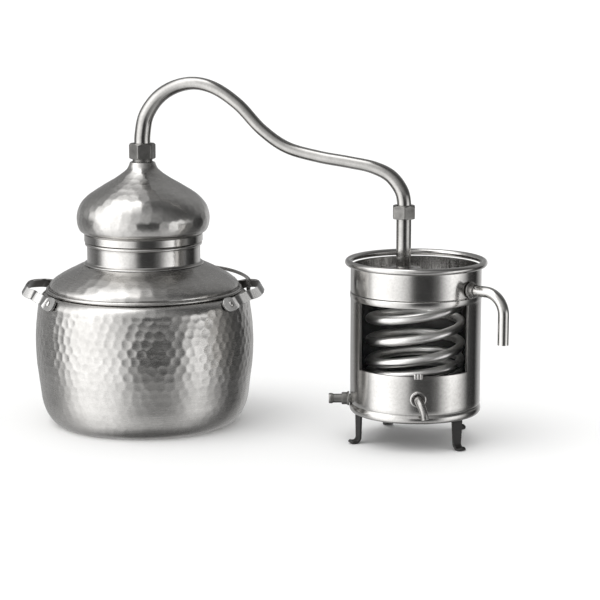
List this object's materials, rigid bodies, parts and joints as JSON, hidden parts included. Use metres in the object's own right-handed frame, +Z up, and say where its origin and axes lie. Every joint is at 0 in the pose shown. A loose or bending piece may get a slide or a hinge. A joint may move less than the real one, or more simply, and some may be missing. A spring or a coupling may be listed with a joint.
{
  "type": "alembic still",
  "caption": "Hammered pot still with strap handles, onion head on a lift-off cover, swan neck held by union nuts, and a legged condenser tub with a coil behind a curved window.",
  "frame": {"origin": "centre of the pot's flat bottom, on the surface the still stands on", "axes": "+X from the pot's axis to the condenser tub's axis, with the swan neck in the XZ plane; +Z up; -Y is the side with the tub's window and spout"},
  "size_m": [0.5055, 0.221, 0.3504],
  "materials": {
    "hammered_sheet": "hammered, satin to bright",
    "polished_sheet": "polished with fine turning marks",
    "dark_nut": "rough, darkened",
    "black_iron": "black, worn edges",
    "sight_glass": "clear",
    "seal": "matt"
  },
  "bodies": {
    "still_base": {"pot_shell": "hammered_sheet", "handle_right": "polished_sheet", "handle_left": "polished_sheet", "handle_rear_strap": "polished_sheet", "rivet_right_front": "polished_sheet", "rivet_right_rear": "polished_sheet", "rivet_left_front": "polished_sheet", "rivet_left_rear": "polished_sheet", "rivet_rear_a": "polished_sheet", "rivet_rear_b": "polished_sheet", "tub_wall": "polished_sheet", "tub_upper_band": "polished_sheet", "tub_rim": "polished_sheet", "tub_floor": "polished_sheet", "leg_1": "black_iron", "leg_rivet_1": "black_iron", "leg_2": "black_iron", "leg_rivet_2": "black_iron", "leg_3": "black_iron", "leg_rivet_3": "black_iron", "leg_4": "black_iron", "leg_rivet_4": "black_iron", "sight_glass": "sight_glass", "glass_seal": "seal", "glass_clip": "polished_sheet", "inlet_pipe": "polished_sheet", "inlet_disc": "polished_sheet", "inlet_reducer": "polished_sheet", "coil": "polished_sheet", "spout": "polished_sheet", "spout_flange": "polished_sheet", "spout_lock_nut": "dark_nut", "overflow_pipe": "polished_sheet", "overflow_sleeve": "polished_sheet", "overflow_lock_nut": "dark_nut", "water_stub": "polished_sheet", "water_sleeve": "polished_sheet", "water_lock_nut": "dark_nut"},
    "cover": {"cover": "hammered_sheet", "collar": "polished_sheet"},
    "head": {"head_spigot": "polished_sheet", "head_skirt": "polished_sheet", "onion_head": "hammered_sheet", "vapour_stub": "dark_nut"},
    "neck": {"swan_neck": "polished_sheet", "head_ferrule": "dark_nut", "coil_ferrule": "dark_nut"},
    "head_nut": {"head_nut": "dark_nut"},
    "coil_nut": {"coil_nut": "dark_nut"}
  },
  "joints": [
    {"name": "cover_lift", "type": "slide", "parent": "still_base", "child": "cover", "axis": [0, 0, 1], "range_m": [0, 0.06]},
    {"name": "head_lift", "type": "slide", "parent": "cover", "child": "head", "axis": [0, 0, 1], "range_m": [0, 0.05]},
    {"name": "neck_lift", "type": "slide", "parent": "head", "child": "neck", "axis": [0, 0, 1], "range_m": [0, 0.05]},
    {"name": "head_nut_turn", "type": "hinge", "parent": "neck", "child": "head_nut", "pos_m": [0, 0, 0.2755], "axis": [0, 0, 1], "continuous": true},
    {"name": "coil_nut_turn", "type": "hinge", "parent": "neck", "child": "coil_nut", "pos_m": [0.2705, 0, 0.2243], "axis": [0, 0, 1], "continuous": true}
  ]
}
